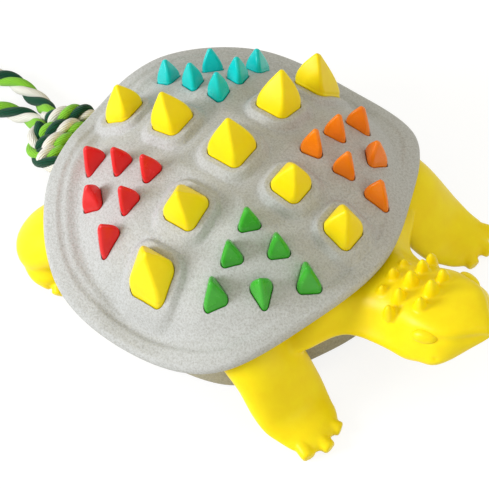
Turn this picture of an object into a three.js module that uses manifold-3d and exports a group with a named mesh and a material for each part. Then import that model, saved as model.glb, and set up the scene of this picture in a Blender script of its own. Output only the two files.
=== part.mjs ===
// Turtle-shaped chew toy: a rubber body held between two shells, with coloured teeth and a rope loop.
// Millimetres. X points to the head, Y to the toy's left, Z up from the floor.
// Lengths along X are measured from the middle of the shell; the last group moves the toy so that
// the origin lies under the middle of its length.
import * as THREE from 'three';
import { mergeVertices } from 'three/addons/utils/BufferGeometryUtils.js';
import Module from 'manifold-3d';

// Upper shell
const CROWN_HEIGHT = 63;
const SHELL_FRONT = 57;
const SHELL_REAR = 60;
const SHELL_HALF_WIDTH = 62.5;
const DOME_RADIUS_LONG = 69;
const DOME_RADIUS_WIDE = 58;
const WALL = 2.6;
const RIM_HEIGHT_FRONT = 40;
const RIM_HEIGHT_REAR = 38;
const RIM_HEIGHT_SIDE = 22.5;
const RIM_DEPTH = 4.2;
const RIM_BAND = 8;
const RIM_BLEND = 0.72;
const LIP_RADIUS = 1.2;
const LIP_DROP = 0.6;
const DOME_EDGE = 13;
const GROOVE_DEPTH = 1.5;
const GROOVE_INSET = 6.4;
const GROOVE_WIDTH = 2.4;

// Half outline of the rim as shares of its front, rear and half width
const RIM_PLAN = [[1, 0], [0.85, 0.45], [0.56, 0.88], [0, 1], [-0.55, 0.91], [-0.92, 0.51], [-1, 0]];
const SPOKES = 40;

// Clearances
const CLEAR = 0.4;
const HOLE_GAP = 0.6;

// Square pyramids of the body and the collars round them
// Place along the toy or across it, half width and height; those across are mirrored
const SPINE_PYRAMIDS = [
  [-45.8, 4.8, 13.4],
  [-24.6, 5.4, 14.2],
  [0, 6.2, 14.4],
  [23.2, 5.3, 13.4],
  [42.7, 4.8, 13.8],
];
const CROSS_PYRAMIDS = [[24.6, 5.75, 14.4], [45, 5.75, 14.6]];
const PYRAMID_CORNER = 1.8;
const PYRAMID_TIP = 1.1;
const COLLAR_HEIGHT = 1.3;
const COLLAR_LAND = 1.6;
const COLLAR_SLOPE = 2.3;
const LEAN = 0.27;
const SPIKE_SHOULDER = 0.8;
const TIP_FLARE = 1.2;

// Coloured teeth
const TOOTH_START_X = 19.3;
const TOOTH_START_Y = 17.6;
const TOOTH_PITCH_X = 11.8;
const TOOTH_PITCH_Y = 11.4;
const TOOTH_SKEW = 0.95;
const TOOTH_TURNED_OUT = 1.4;
const TOOTH_RADIUS = 5.2;
const TOOTH_OUTER_GROWTH = 0.4;
const TOOTH_CORNER = 1.5;
const TOOTH_TIP = 1.15;
const TOOTH_HEIGHT = 8.4;
const FLANGE = 1.6;
const FLANGE_LAP = 1.1;

// Lower shell
const TRAY_FRONT = 51.5;
const TRAY_REAR = 54;
const TRAY_HALF_WIDTH = 51;
const TRAY_BOTTOM = 4;
const TRAY_WALL = 2.6;
const TRAY_ROUND = 4;
const SHELL_SEAM = 1.5;
const TRAY_TOP = RIM_HEIGHT_SIDE - SHELL_SEAM;
const PEG_RADIUS = 4;
const PEG_HEIGHT = 8;
const PEG_X = 26;
const PEG_Y = 18;

// Body
const BELT_INSET = 7;
const SNOUT_X = 100.5;
const EYE = { x: 82.2, y: 12.6, z: 37.8, long: 3.4, deep: 2.2, high: 2.1 };
const CONE_WAIST = 0.66;
const CONE_TIP = 0.6;
const CLAW_TIP = 1.8;
const CLAW_ROOT = 3;

// Tail lug and rope
const LUG_X = 62.5;
const LUG_Z = 14;
const LUG_RADIUS = 6.2;
const LUG_WIDTH = 9;
const LUG_ROOT_X = 48;
const LUG_ROOT_Z = 30;
const LUG_ROOT_RADIUS = 7;
const ROPE_DIAMETER = 5.4;
const ROPE_SIDES = 8;
const KNOT = { back: 16, across: 0, drop: 4.2, length: 13, radius: 7 };

// Colours and finishes
const GREY = new THREE.MeshStandardMaterial({ color: 0xcbccc6, roughness: 0.75, metalness: 0 });
const KHAKI = new THREE.MeshStandardMaterial({ color: 0xb4ad94, roughness: 0.75, metalness: 0 });
const YELLOW = new THREE.MeshStandardMaterial({ color: 0xf7dc12, roughness: 0.32, metalness: 0 });
const GREEN_ROPE = new THREE.MeshStandardMaterial({ color: 0x2f7d4a, roughness: 0.95, metalness: 0 });
const TOOTH_GROUPS = [
  { name: 'red', alongX: -1, alongY: -1, spread: 1.4, color: 0xd9252b },
  { name: 'teal', alongX: -1, alongY: 1, spread: 0.3, color: 0x15a6ae },
  { name: 'orange', alongX: 1, alongY: 1, spread: -0.8, color: 0xf07a1c },
  { name: 'green', alongX: 1, alongY: -1, spread: 0, color: 0x2f9a30 },
];

const wasm = await Module();
wasm.setup();

// Closed meshes and solids

function closedGeometry(points, triangles) {
  const positions = new Float32Array(points.length * 3);
  points.forEach((point, i) => positions.set([point.x, point.y, point.z], i * 3));
  let volume = 0;
  for (const [a, b, c] of triangles) {
    volume += points[a].dot(new THREE.Vector3().crossVectors(points[b], points[c]));
  }
  const facing = volume > 0 ? triangles : triangles.map(([a, b, c]) => [a, c, b]);
  const geometry = new THREE.BufferGeometry();
  geometry.setAttribute('position', new THREE.BufferAttribute(positions, 3));
  geometry.setIndex(facing.flat());
  return geometry;
}

// Skin over a row of rings with equal point counts, closed by a fan to a point at each end
function loft(rings, startPoint, endPoint) {
  const count = rings[0].length;
  const points = [...rings.flat(), startPoint, endPoint];
  const start = points.length - 2;
  const end = points.length - 1;
  const triangles = [];
  for (let j = 0; j < count; j += 1) {
    const next = (j + 1) % count;
    triangles.push([start, next, j]);
    for (let i = 0; i + 1 < rings.length; i += 1) {
      const low = i * count;
      const high = low + count;
      triangles.push([low + j, low + next, high + next], [low + j, high + next, high + j]);
    }
    const last = (rings.length - 1) * count;
    triangles.push([end, last + j, last + next]);
  }
  return closedGeometry(points, triangles);
}

function middle(ring) {
  const sum = ring.reduce((total, point) => total.add(point), new THREE.Vector3());
  return sum.divideScalar(ring.length);
}

function solid(geometry) {
  const bare = geometry.clone();
  bare.deleteAttribute('normal');
  bare.deleteAttribute('uv');
  const merged = mergeVertices(bare);
  const index = Array.from(merged.index.array);
  const kept = [];
  for (let i = 0; i < index.length; i += 3) {
    const [a, b, c] = index.slice(i, i + 3);
    if (a !== b && b !== c && c !== a) {
      kept.push(a, b, c);
    }
  }
  const mesh = new wasm.Mesh({
    numProp: 3,
    vertProperties: new Float32Array(merged.attributes.position.array),
    triVerts: new Uint32Array(kept),
  });
  return new wasm.Manifold(mesh);
}

function geometryOf(body) {
  const mesh = body.getMesh();
  const geometry = new THREE.BufferGeometry();
  geometry.setAttribute('position', new THREE.BufferAttribute(new Float32Array(mesh.vertProperties), 3));
  geometry.setIndex(new THREE.BufferAttribute(new Uint32Array(mesh.triVerts), 1));
  geometry.computeVertexNormals();
  return geometry;
}

function joined(solids) {
  return solids.reduce((whole, piece) => whole.add(piece));
}

function namedMesh(name, body, material) {
  const mesh = new THREE.Mesh(geometryOf(body), material);
  mesh.name = name;
  return mesh;
}

// Outlines that share the rim's shape

const mirroredPlan = RIM_PLAN.slice(1, -1).reverse().map(([x, y]) => [x, -y]);
const planCurve = new THREE.CatmullRomCurve3(
  [...RIM_PLAN, ...mirroredPlan].map(([x, y]) => new THREE.Vector3(x, y, 0)),
  true,
  'centripetal',
);
const planPoints = planCurve.getSpacedPoints(SPOKES).slice(0, SPOKES);

function planAngle(point) {
  return Math.atan2(point.y, point.x);
}

// Distance from the middle to the plan's edge in one direction, in shares
function planReach(angle) {
  for (let j = 0; j < SPOKES; j += 1) {
    const from = planPoints[j];
    const to = planPoints[(j + 1) % SPOKES];
    const span = THREE.MathUtils.euclideanModulo(planAngle(to) - planAngle(from), 2 * Math.PI);
    const along = THREE.MathUtils.euclideanModulo(angle - planAngle(from), 2 * Math.PI);
    if (along <= span) {
      const side = new THREE.Vector2(to.x - from.x, to.y - from.y);
      const ray = new THREE.Vector2(Math.cos(angle), Math.sin(angle));
      return (from.x * side.y - from.y * side.x) / ray.cross(side);
    }
  }
  return 1;
}

// The rim's plan at one size, drawn in by an inset along each spoke
function outline(front, rear, halfWidth, inset) {
  return planPoints.map((share) => {
    const edge = new THREE.Vector2(share.x * (share.x > 0 ? front : rear), share.y * halfWidth);
    return edge.multiplyScalar(1 - inset / edge.length());
  });
}

function shellOutline(inset) {
  return outline(SHELL_FRONT, SHELL_REAR, SHELL_HALF_WIDTH, inset);
}

function trayOutline(inset) {
  return outline(TRAY_FRONT, TRAY_REAR, TRAY_HALF_WIDTH, inset);
}

function ringAt(plan, height) {
  return plan.map((point) => new THREE.Vector3(point.x, point.y, height(point.x, point.y)));
}

function shrunk(plan, share) {
  return plan.map((point) => point.clone().multiplyScalar(share));
}

// Surface of the upper shell

function domeHeight(x, y) {
  return CROWN_HEIGHT - x * x / (2 * DOME_RADIUS_LONG) - y * y / (2 * DOME_RADIUS_WIDE);
}

// Where a point lies on its spoke: share of the way to the rim, rim point, height of the rim's lower edge
function spokeAt(x, y) {
  const share = new THREE.Vector2(x / (x > 0 ? SHELL_FRONT : SHELL_REAR), y / SHELL_HALF_WIDTH);
  const angle = Math.atan2(share.y, share.x);
  const reach = planReach(angle);
  const along = Math.cos(angle) * reach;
  const edge = new THREE.Vector2(
    along * (along > 0 ? SHELL_FRONT : SHELL_REAR),
    Math.sin(angle) * reach * SHELL_HALF_WIDTH,
  );
  const endHeight = along > 0 ? RIM_HEIGHT_FRONT : RIM_HEIGHT_REAR;
  const rimHeight = RIM_HEIGHT_SIDE + (endHeight - RIM_HEIGHT_SIDE) * along * along;
  return { out: share.length() / reach, edge, rimHeight };
}

// Smooth dome whose edge turns up over head and tail and down at the sides
function shellHeight(x, y) {
  const { out, edge, rimHeight } = spokeAt(x, y);
  const lift = rimHeight + RIM_DEPTH - domeHeight(edge.x, edge.y);
  return domeHeight(x, y) + lift * THREE.MathUtils.smoothstep(out, RIM_BLEND, 1);
}

function insetAt(x, y) {
  const { out, edge } = spokeAt(x, y);
  return Math.max(0, 1 - out) * edge.length();
}

// The dome with the groove inside the rim and the rounded lip
function outerHeight(x, y) {
  const inset = insetAt(x, y);
  const groove = GROOVE_DEPTH * Math.exp(-(((inset - GROOVE_INSET) / GROOVE_WIDTH) ** 2));
  const over = Math.max(0, LIP_RADIUS - inset);
  const lip = LIP_RADIUS - Math.sqrt(LIP_RADIUS * LIP_RADIUS - over * over);
  return shellHeight(x, y) - groove - lip * LIP_DROP;
}

function innerHeight(x, y) {
  const rimShare = Math.max(0, 1 - insetAt(x, y) / RIM_BAND);
  return shellHeight(x, y) - WALL - (RIM_DEPTH - WALL) * rimShare;
}

const RIM_RINGS = [
  DOME_EDGE,
  GROOVE_INSET + GROOVE_WIDTH,
  GROOVE_INSET,
  GROOVE_INSET - GROOVE_WIDTH,
  LIP_RADIUS,
  LIP_RADIUS / 3,
  0,
];
const DOME_SHARES = [0.25, 0.5, 0.75];

function undersidePlans(edgeInset) {
  const edge = shellOutline(DOME_EDGE);
  const dome = DOME_SHARES.map((share) => shrunk(edge, share));
  return [...dome, edge, shellOutline(RIM_BAND), shellOutline(edgeInset)];
}

// All the space above the shell's underside, for cutting what lies below it
function spaceOverUnderside(gap) {
  const under = undersidePlans(-gap).map((plan) => ringAt(plan, (x, y) => innerHeight(x, y) - gap));
  const top = 2 * CROWN_HEIGHT;
  const lid = ringAt(shellOutline(-gap), () => top);
  const low = new THREE.Vector3(0, 0, innerHeight(0, 0) - gap);
  return solid(loft([...under, lid], low, new THREE.Vector3(0, 0, top)));
}

// Seats on the shell: plan axes follow the slope, and the third axis leans a little outwards

function seat(x, y) {
  const step = 1;
  const slopeX = (shellHeight(x + step, y) - shellHeight(x - step, y)) / (2 * step);
  const slopeY = (shellHeight(x, y + step) - shellHeight(x, y - step)) / (2 * step);
  return new THREE.Matrix4().set(
    1, 0, -LEAN * slopeX, x,
    0, 1, -LEAN * slopeY, y,
    slopeX, slopeY, 1, shellHeight(x, y),
    0, 0, 0, 1,
  );
}

function roundedPolygon(sides, radius, corner, turn, arcSteps) {
  const half = Math.PI / sides;
  const centreOut = Math.max(0, radius - corner / Math.cos(half));
  const points = [];
  for (let k = 0; k < sides; k += 1) {
    const heading = turn + 2 * half * k;
    for (let s = 0; s <= arcSteps; s += 1) {
      const angle = heading - half + 2 * half * s / arcSteps;
      points.push(new THREE.Vector2(
        centreOut * Math.cos(heading) + corner * Math.cos(angle),
        centreOut * Math.sin(heading) + corner * Math.sin(angle),
      ));
    }
  }
  return points;
}

// Polygon loft in a seat: each level is height, vertex radius and corner radius
function seatedLoft(place, sides, turn, levels, tipHeight) {
  const arcSteps = 2;
  const rings = levels.map(([height, radius, corner]) => roundedPolygon(sides, radius, corner, turn, arcSteps)
    .map((point) => new THREE.Vector3(point.x, point.y, height).applyMatrix4(place)));
  const tip = new THREE.Vector3(0, 0, tipHeight).applyMatrix4(place);
  return solid(loft(rings, middle(rings[0]), tip));
}

const CORE_DROP = WALL + FLANGE + 3 * CLEAR;

function spikeLevels(foot, radius, corner, height, tip) {
  return [
    [foot, radius, corner],
    [SPIKE_SHOULDER, radius, corner],
    [height - tip, tip * TIP_FLARE, tip],
  ];
}

function square(x, y, halfWidth, height) {
  const shape = { sides: 4, turn: Math.PI / 4, radius: halfWidth * Math.SQRT2, corner: PYRAMID_CORNER };
  return { place: seat(x, y), shape, height };
}

const squares = [
  ...SPINE_PYRAMIDS.map(([x, halfWidth, height]) => square(x, 0, halfWidth, height)),
  ...CROSS_PYRAMIDS.flatMap(([y, halfWidth, height]) => [
    square(0, y, halfWidth, height),
    square(0, -y, halfWidth, height),
  ]),
];

function pyramid({ place, shape, height }) {
  const foot = -CORE_DROP - FLANGE;
  const levels = spikeLevels(foot, shape.radius, shape.corner, height, PYRAMID_TIP);
  return seatedLoft(place, shape.sides, shape.turn, levels, height);
}

function collar({ place, shape }) {
  const land = shape.radius + (HOLE_GAP + COLLAR_LAND) * Math.SQRT2;
  const footRadius = land + COLLAR_SLOPE * Math.SQRT2;
  const corner = PYRAMID_CORNER + HOLE_GAP + COLLAR_LAND;
  const levels = [
    [-WALL / 2, footRadius, corner + COLLAR_SLOPE],
    [COLLAR_HEIGHT / 2, land + COLLAR_SLOPE / 2, corner + COLLAR_SLOPE / 2],
    [COLLAR_HEIGHT, land, corner],
  ];
  return seatedLoft(place, shape.sides, shape.turn, levels, COLLAR_HEIGHT);
}

function hole({ place, shape }) {
  const depth = WALL * 2 + COLLAR_HEIGHT;
  const grow = HOLE_GAP / Math.cos(Math.PI / shape.sides);
  const levels = [
    [-depth, shape.radius + grow, shape.corner + HOLE_GAP],
    [depth, shape.radius + grow, shape.corner + HOLE_GAP],
  ];
  return seatedLoft(place, shape.sides, shape.turn, levels, depth);
}

// Tooth places: a triangle of six in each quarter, the middle one of the outer row turned round

function toothPlaces(group) {
  const places = [];
  for (let row = 0; row <= 2; row += 1) {
    for (let column = 0; column + row <= 2; column += 1) {
      const turned = row === 1 && column === 1;
      const out = turned ? TOOTH_TURNED_OUT : 0;
      const outer = row === 2 || column === 2;
      const x = TOOTH_START_X + TOOTH_PITCH_X * column + TOOTH_SKEW * row + out;
      const y = TOOTH_START_Y + TOOTH_PITCH_Y * row + TOOTH_SKEW * column + out + group.spread;
      const inward = Math.atan2(-group.alongY, -group.alongX);
      places.push({
        place: seat(x * group.alongX, y * group.alongY),
        shape: {
          sides: 3,
          turn: turned ? inward + Math.PI : inward,
          radius: TOOTH_RADIUS + (outer ? TOOTH_OUTER_GROWTH : 0),
          corner: TOOTH_CORNER,
        },
      });
    }
  }
  return places;
}

const teeth = TOOTH_GROUPS.flatMap((group) => toothPlaces(group).map((tooth, i) => ({
  ...tooth,
  name: `${group.name}_tooth_${i + 1}`,
  material: new THREE.MeshStandardMaterial({ color: group.color, roughness: 0.35, metalness: 0 }),
})));

const overUnderside = spaceOverUnderside(CLEAR);

// Flange of a tooth under the shell, or the room for it when grown by a gap
function flangeLoft({ place, shape }, gap) {
  const bottom = -WALL - CLEAR - FLANGE - gap;
  const top = -WALL - CLEAR + gap;
  const wide = shape.radius + (HOLE_GAP + FLANGE_LAP + gap) / Math.cos(Math.PI / shape.sides);
  const corner = shape.corner + FLANGE_LAP + gap;
  return seatedLoft(place, shape.sides, shape.turn, [[bottom, wide, corner], [top, wide, corner]], top);
}

function toothMesh(tooth) {
  const { place, shape, name, material } = tooth;
  const foot = -WALL - CLEAR - FLANGE / 2;
  const plugLevels = spikeLevels(foot, shape.radius, shape.corner, TOOTH_HEIGHT, TOOTH_TIP);
  const plug = seatedLoft(place, shape.sides, shape.turn, plugLevels, TOOTH_HEIGHT);
  return namedMesh(name, flangeLoft(tooth, 0).subtract(overUnderside).add(plug), material);
}

// Upper shell

function upperShell() {
  const innerEdge = shellOutline(DOME_EDGE);
  const dome = DOME_SHARES.map((share) => ringAt(shrunk(innerEdge, share), outerHeight));
  const rim = RIM_RINGS.map((inset) => ringAt(shellOutline(inset), outerHeight));
  const under = undersidePlans(0).map((plan) => ringAt(plan, innerHeight)).reverse();
  const crown = new THREE.Vector3(0, 0, outerHeight(0, 0));
  const skin = solid(loft([...dome, ...rim, ...under], crown, new THREE.Vector3(0, 0, innerHeight(0, 0))));
  const raised = joined([skin, ...squares.map(collar)]);
  const holes = [...squares, ...teeth].map(hole);
  return namedMesh('upper_shell', raised.subtract(joined(holes)), GREY);
}

// Lower shell: a tray with rounded bottom edge, and four pegs that key into the body

const TRAY_FLOOR = TRAY_BOTTOM + TRAY_WALL;
const pegPlaces = [[1, 1], [1, -1], [-1, 1], [-1, -1]].map(([x, y]) => [x * PEG_X, y * PEG_Y]);

function upright(x, y, radius, bottom, top) {
  const sides = 16;
  const cylinder = new THREE.CylinderGeometry(radius, radius, top - bottom, sides);
  cylinder.rotateX(Math.PI / 2);
  cylinder.translate(x, y, (bottom + top) / 2);
  return solid(cylinder);
}

function lowerShell() {
  const arc = TRAY_ROUND * (1 - Math.SQRT1_2);
  const rings = [
    ringAt(trayOutline(TRAY_ROUND), () => TRAY_BOTTOM),
    ringAt(trayOutline(arc), () => TRAY_BOTTOM + arc),
    ringAt(trayOutline(0), () => TRAY_BOTTOM + TRAY_ROUND),
    ringAt(trayOutline(0), () => TRAY_TOP),
    ringAt(trayOutline(TRAY_WALL), () => TRAY_TOP),
    ringAt(trayOutline(TRAY_WALL), () => TRAY_FLOOR + TRAY_ROUND / 2),
    ringAt(trayOutline(TRAY_ROUND), () => TRAY_FLOOR),
  ];
  const tray = solid(loft(rings, new THREE.Vector3(0, 0, TRAY_BOTTOM), new THREE.Vector3(0, 0, TRAY_FLOOR)));
  const pegFoot = TRAY_BOTTOM + TRAY_WALL / 2;
  const pegs = pegPlaces.map(([x, y]) => upright(x, y, PEG_RADIUS, pegFoot, TRAY_FLOOR + PEG_HEIGHT));
  return namedMesh('lower_shell', joined([tray, ...pegs]), KHAKI);
}

// The space the tray takes, for cutting legs, neck and tail clear of it
function traySpace() {
  const plan = trayOutline(-CLEAR);
  const top = TRAY_TOP + CLEAR;
  const rings = [ringAt(plan, () => -TRAY_TOP), ringAt(plan, () => top)];
  return solid(loft(rings, middle(rings[0]), middle(rings[1])));
}

// Core of the body: a plug in the tray, a belt on the tray's edge, and a crown under the shell

function core() {
  const floor = TRAY_FLOOR + CLEAR;
  const ledge = TRAY_TOP + CLEAR;
  const plug = trayOutline(TRAY_WALL + CLEAR);
  const plugFoot = trayOutline(TRAY_ROUND + CLEAR);
  const belt = shellOutline(BELT_INSET);
  const crownEdge = shellOutline(DOME_EDGE);
  const top = (x, y) => shellHeight(x, y) - CORE_DROP;
  const rings = [
    ringAt(plugFoot, () => floor),
    ringAt(plug, () => floor + TRAY_ROUND / 2),
    ringAt(plug, () => ledge),
    ringAt(belt, () => ledge),
    ringAt(belt, top),
    ringAt(crownEdge, top),
    ...[...DOME_SHARES].reverse().map((share) => ringAt(shrunk(crownEdge, share), top)),
  ];
  const block = solid(loft(rings, new THREE.Vector3(0, 0, floor), new THREE.Vector3(0, 0, top(0, 0))));
  const sockets = pegPlaces.map(([x, y]) => (
    upright(x, y, PEG_RADIUS + CLEAR, TRAY_BOTTOM, TRAY_FLOOR + PEG_HEIGHT + CLEAR)
  ));
  return block.subtract(joined(sockets));
}

// Head and neck: sections across X, each with half width, top and bottom height
const HEAD_SECTIONS = [
  [36, 36.5, 34, 21.4],
  [44, 34.6, 35, 20.8],
  [48, 31, 36, 20.6],
  [50.4, 26, 36.7, 20.7],
  [52.6, 21.8, 37.2, 20.8],
  [55.4, 19, 37.9, 21],
  [60, 17.4, 39.1, 21.3],
  [65, 17, 40.7, 21.8],
  [71, 17, 42.1, 22.6],
  [77, 17.4, 42.9, 23.6],
  [82, 17.2, 43.4, 24.8],
  [86.4, 15.2, 43.6, 26.6],
  [90.6, 11, 43.5, 29.6],
  [94.4, 6, 42.9, 32.8],
  [97.4, 3.6, 41.9, 35],
  [99.6, 1.8, 40.4, 36.6],
];
const SECTION_POINTS = 16;
const SECTION_FULLNESS = 0.88;
const JAW_SHARE = 0.24;

// The widest line of a section lies at the jaw, below the middle
function headSection([x, halfWidth, top, bottom]) {
  const jaw = bottom + JAW_SHARE * (top - bottom);
  const points = [];
  for (let j = 0; j < SECTION_POINTS; j += 1) {
    const angle = 2 * Math.PI * j / SECTION_POINTS;
    const across = Math.sign(Math.cos(angle)) * Math.abs(Math.cos(angle)) ** SECTION_FULLNESS;
    const up = Math.sign(Math.sin(angle)) * Math.abs(Math.sin(angle)) ** SECTION_FULLNESS;
    const reach = up > 0 ? top - jaw : jaw - bottom;
    points.push(new THREE.Vector3(x, halfWidth * across, jaw + reach * up));
  }
  return points;
}

function head() {
  const rings = HEAD_SECTIONS.map(headSection);
  const last = HEAD_SECTIONS[HEAD_SECTIONS.length - 1];
  const tip = new THREE.Vector3(SNOUT_X, 0, (last[2] + last[3]) / 2);
  const eyes = [1, -1].map((side) => {
    const ball = new THREE.SphereGeometry(1, 8, 6);
    ball.scale(EYE.long, EYE.deep, EYE.high);
    ball.translate(EYE.x, side * EYE.y, EYE.z);
    return solid(ball);
  });
  return joined([solid(loft(rings, middle(rings[0]), tip)), ...eyes]);
}

// Small cones on top of the head: place, base height, radius and height, mirrored where off the middle
const HEAD_CONES = [
  [61, 0, 39, 2.3, 5],
  [60.8, 6, 38, 1.8, 3.6],
  [68, 0, 41.4, 2.7, 7],
  [67.8, 6.5, 40.6, 2.3, 5.8],
  [67.4, 11.8, 38, 2.2, 5],
  [75.8, 0, 42.6, 2.7, 7],
  [75.8, 6.3, 42.2, 2.3, 5.6],
];

function headCone(x, y, base, radius, height) {
  const sides = 6;
  const profile = [[0, -radius], [radius, -radius], [radius * CONE_WAIST, height / 2], [CONE_TIP, height]];
  const points = [...profile, [0, height]].map(([r, h]) => new THREE.Vector2(r, h));
  const cone = new THREE.LatheGeometry(points, sides);
  cone.rotateX(Math.PI / 2);
  cone.translate(x, y, base);
  return solid(cone);
}

function headCones() {
  return HEAD_CONES.flatMap(([x, y, base, radius, height]) => {
    const sides = y === 0 ? [0] : [y, -y];
    return sides.map((across) => headCone(x, across, base, radius, height));
  });
}

// Legs: oval sections along a line, each with place, half width and half thickness, on the toy's left
const FRONT_LEG = [
  [26, 36, 27.5, 13, 7.6],
  [34, 38.6, 24, 13.2, 7.6],
  [41, 40.4, 18, 13.2, 7.2],
  [46.5, 42, 10.4, 13.5, 6.4],
  [51, 43.2, 5.8, 13, 5.2],
  [56, 44.4, 3.2, 11.2, 4.2],
  [60, 44.8, 2.3, 8.8, 3.4],
  [62.8, 44.9, 1.8, 5.4, 2.4],
];
const FRONT_CLAWS = [
  [[55.8, 47.8, 3.6], [63.4, 51.4, 2]],
  [[57.8, 44.6, 3.6], [66.3, 45.1, 2]],
  [[56.6, 41, 3.6], [64.8, 37.9, 2]],
];
const REAR_THIGH = [
  [-30, 24, 31, 14, 8],
  [-42, 31, 24, 13.6, 9],
  [-52, 36, 16, 12.6, 9.2],
  [-58, 39.6, 10.5, 10.8, 7.8],
  [-61.6, 41.6, 7.4, 7.4, 5.4],
  [-63.2, 42.6, 6.4, 4, 3],
];
const REAR_FOOT = [
  [-57.5, 34.5, 9, 7.6, 5.6],
  [-53.6, 38.2, 7.2, 10, 6.6],
  [-49.2, 41.7, 5.4, 9.8, 5.8],
  [-46.2, 44.2, 4.8, 7.8, 5],
  [-44.6, 45.5, 4.2, 4.6, 3.4],
];
const REAR_CLAWS = [
  [[-50, 41.6, 5.6], [-49.2, 49.2, 2.8]],
  [[-46, 42, 5.4], [-43, 48.8, 2.6]],
  [[-43, 41, 5.4], [-38.4, 45.4, 2.6]],
];
const LEG_POINTS = 12;

function limb(stations, side) {
  const centres = stations.map(([x, y, z]) => new THREE.Vector3(x, y * side, z));
  const rings = stations.map(([, , , halfWidth, halfThick], i) => {
    const ahead = centres[Math.min(i + 1, centres.length - 1)];
    const behind = centres[Math.max(i - 1, 0)];
    const along = ahead.clone().sub(behind).normalize();
    const across = new THREE.Vector3(0, 0, 1).cross(along).normalize();
    const thick = along.clone().cross(across);
    const ring = [];
    for (let j = 0; j < LEG_POINTS; j += 1) {
      const angle = 2 * Math.PI * j / LEG_POINTS;
      ring.push(centres[i].clone()
        .addScaledVector(across, halfWidth * Math.cos(angle))
        .addScaledVector(thick, halfThick * Math.sin(angle)));
    }
    return ring;
  });
  return solid(loft(rings, centres[0], centres[centres.length - 1]));
}

function claw([from, to], side) {
  const start = new THREE.Vector3(from[0], from[1] * side, from[2]);
  const end = new THREE.Vector3(to[0], to[1] * side, to[2]);
  const along = end.clone().sub(start);
  const sides = 7;
  const cone = new THREE.CylinderGeometry(CLAW_TIP, CLAW_ROOT, along.length(), sides);
  const axis = new THREE.Vector3(0, 1, 0);
  cone.applyQuaternion(new THREE.Quaternion().setFromUnitVectors(axis, along.clone().normalize()));
  const centre = start.add(end).divideScalar(2);
  cone.translate(centre.x, centre.y, centre.z);
  return solid(cone);
}

function legs() {
  return [1, -1].flatMap((side) => [
    limb(FRONT_LEG, side),
    limb(REAR_THIGH, side),
    limb(REAR_FOOT, side),
    ...[...FRONT_CLAWS, ...REAR_CLAWS].map((ends) => claw(ends, side)),
  ]);
}

// Tail lug: a tapered tab under the rear rim, with a hole across it for the rope

function tailLug() {
  const root = new THREE.Vector2(-LUG_ROOT_X, LUG_ROOT_Z);
  const end = new THREE.Vector2(-LUG_X, LUG_Z);
  const heading = end.clone().sub(root).angle();
  const tab = new THREE.Shape();
  tab.absarc(end.x, end.y, LUG_RADIUS, heading - Math.PI / 2, heading + Math.PI / 2, false);
  tab.absarc(root.x, root.y, LUG_ROOT_RADIUS, heading + Math.PI / 2, heading + 1.5 * Math.PI, false);
  const plate = new THREE.ExtrudeGeometry(tab, { depth: LUG_WIDTH, bevelEnabled: false, curveSegments: 8 });
  plate.rotateX(Math.PI / 2);
  plate.translate(0, LUG_WIDTH / 2, 0);
  return solid(plate);
}

function ropeHole() {
  const sides = 16;
  const radius = ROPE_DIAMETER / 2 + CLEAR;
  const drill = new THREE.CylinderGeometry(radius, radius, LUG_WIDTH * 2, sides);
  drill.translate(-LUG_X, 0, LUG_Z);
  return solid(drill);
}

function body() {
  const below = new THREE.BoxGeometry(4 * SHELL_REAR + 2 * SNOUT_X, 4 * SHELL_HALF_WIDTH, TRAY_TOP);
  below.translate(0, 0, -TRAY_TOP / 2);
  const flangeRoom = joined(teeth.map((tooth) => flangeLoft(tooth, CLEAR)));
  const limbs = joined([head(), ...legs(), tailLug()])
    .subtract(traySpace())
    .subtract(ropeHole())
    .subtract(solid(below))
    .subtract(overUnderside);
  const moulding = limbs.add(core()).subtract(flangeRoom);
  return namedMesh('body', joined([moulding, ...squares.map(pyramid), ...headCones()]), YELLOW);
}

// Rope: an eye through the lug, a knot and a hand loop that lies on the floor behind the toy.
// Both routes start and end at the knot and run back from the lug's hole, across, and down from the
// hole for the eye or up from the floor for the hand loop.

const EYE_ROUTE = [
  [18.6, -7.8, 4.4], [19.5, -10, 4.2], [18.2, -12.6, 3.6], [14.6, -13.6, 2.6], [10.4, -12.9, 1.4],
  [5.8, -10.8, 0.5], [1.8, -7.8, 0.1], [0, -4.6, 0], [0, 0, 0], [0, 5, 0], [1.4, 9.6, 0.2],
  [5, 13, 0.9], [10, 14.4, 2], [14.4, 12.6, 3.4], [15.9, 7.8, 4.2],
];
const LOOP_ROUTE = [
  [24.2, -1.2, 5.6], [27.6, 0, 4.6], [31.4, 2.6, 1.4], [36.4, 3.6, 0], [41.6, 2.5, 0], [47.3, 1, 0],
  [56.5, -2.6, 0], [66.5, -7.8, 0], [77.5, -13, 0], [88.5, -16.2, 0], [97.5, -14.6, 0], [102.9, -8, 0],
  [100.9, 0, 0], [92.9, 4.8, 0], [81.5, 7.2, 0], [69.5, 9, 0], [60, 11, 0], [53, 13, 0], [47.5, 13, 0],
  [42, 12, 0], [36.8, 11.2, 0.1], [32.4, 9.4, 1.4], [28.8, 6.6, 4.4], [24.8, 4.6, 5.6],
];
const EYE_STEPS = 18;
const LOOP_STEPS = 30;
const FLOOR_LIFT = ROPE_DIAMETER / 2 + CLEAR;

function behindHole(back, across, height) {
  return new THREE.Vector3(-LUG_X - back, across, height);
}

const eyePoints = EYE_ROUTE.map(([back, across, drop]) => behindHole(back, across, LUG_Z - drop));
const loopPoints = LOOP_ROUTE.map(([back, across, up]) => behindHole(back, across, FLOOR_LIFT + up));

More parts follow.
